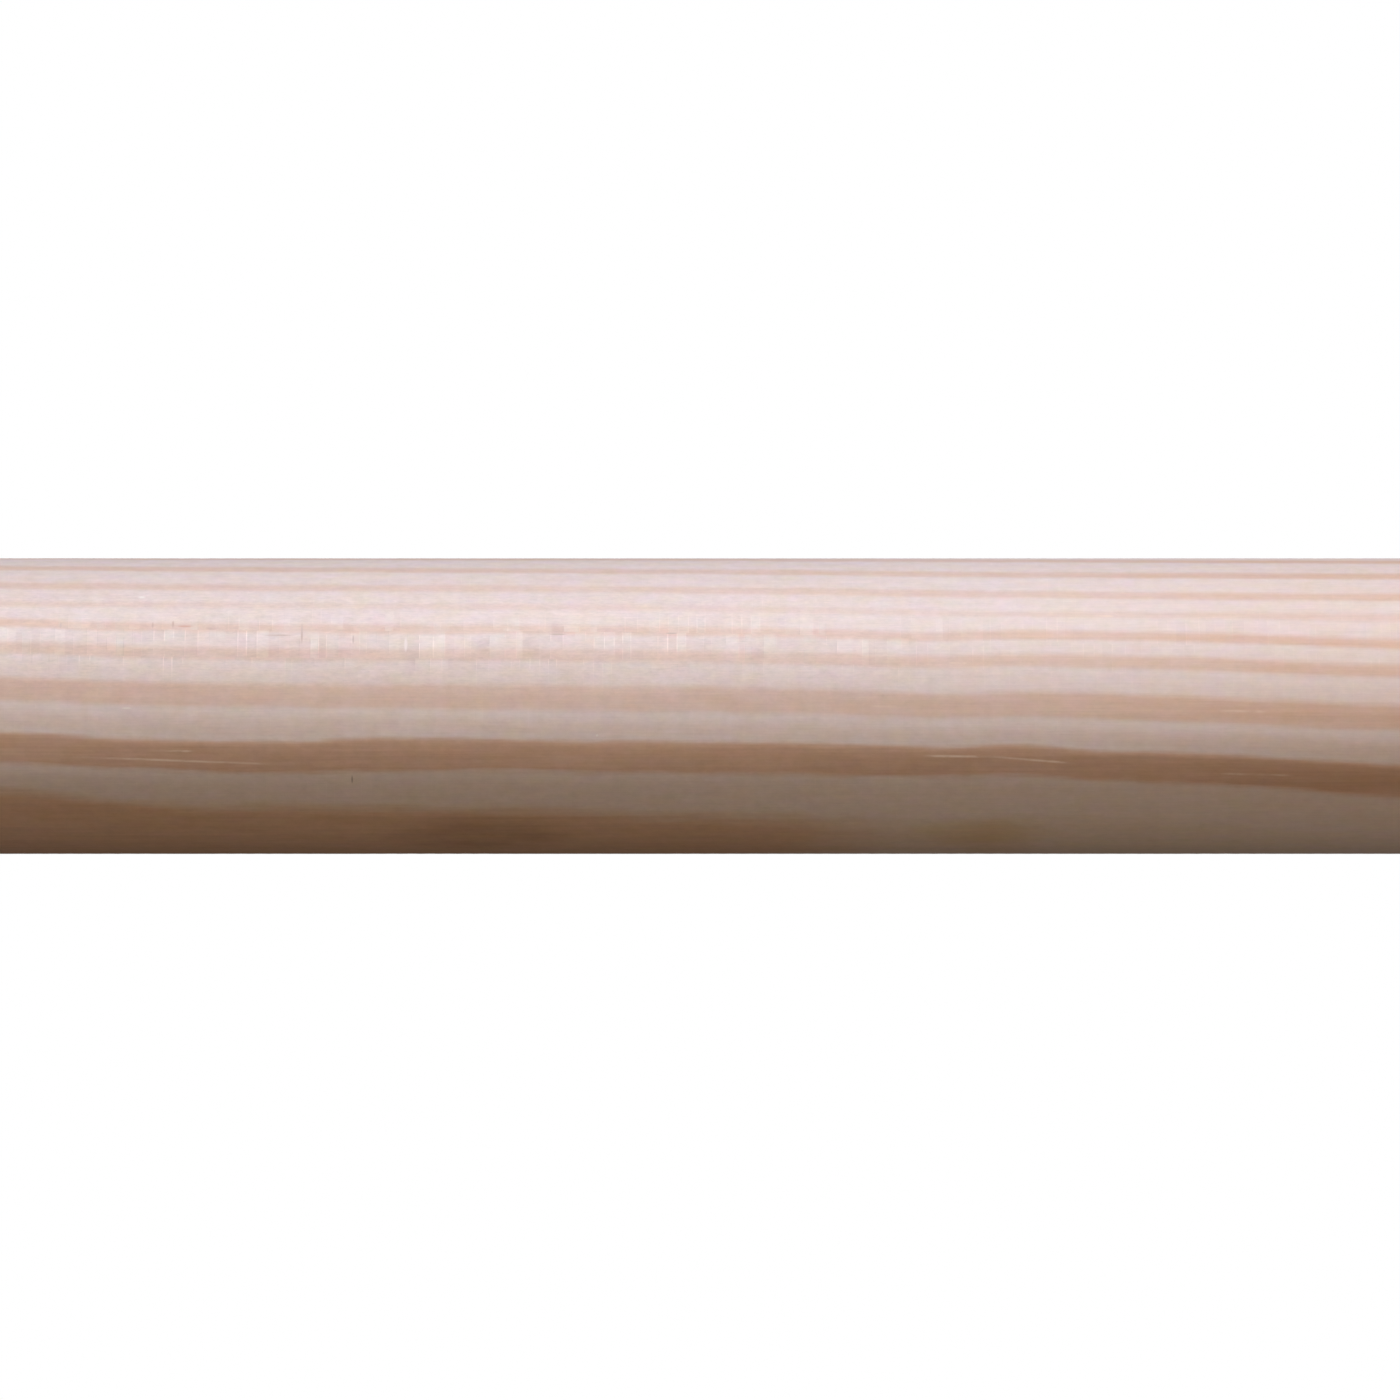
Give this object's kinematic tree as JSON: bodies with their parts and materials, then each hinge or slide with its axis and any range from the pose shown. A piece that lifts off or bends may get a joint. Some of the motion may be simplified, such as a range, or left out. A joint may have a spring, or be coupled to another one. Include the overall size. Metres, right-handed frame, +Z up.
{
  "type": "wooden dowel rod",
  "caption": "Plain round pine rod with square-sawn, lightly eased ends, for use as a dowel, peg, spindle, hanging rail or handle.",
  "frame": {"origin": "centre of the lower sawn end, which the rod stands on", "axes": "+Z up along the rod's axis, from the lower sawn end to the upper one; +X and +Y lie across the rod, which is round, so their direction has no meaning in the shape"},
  "size_m": [0.025, 0.025, 0.3],
  "materials": {
    "pine": "satin"
  },
  "bodies": {
    "root": {"rod": "pine"}
  },
  "joints": []
}
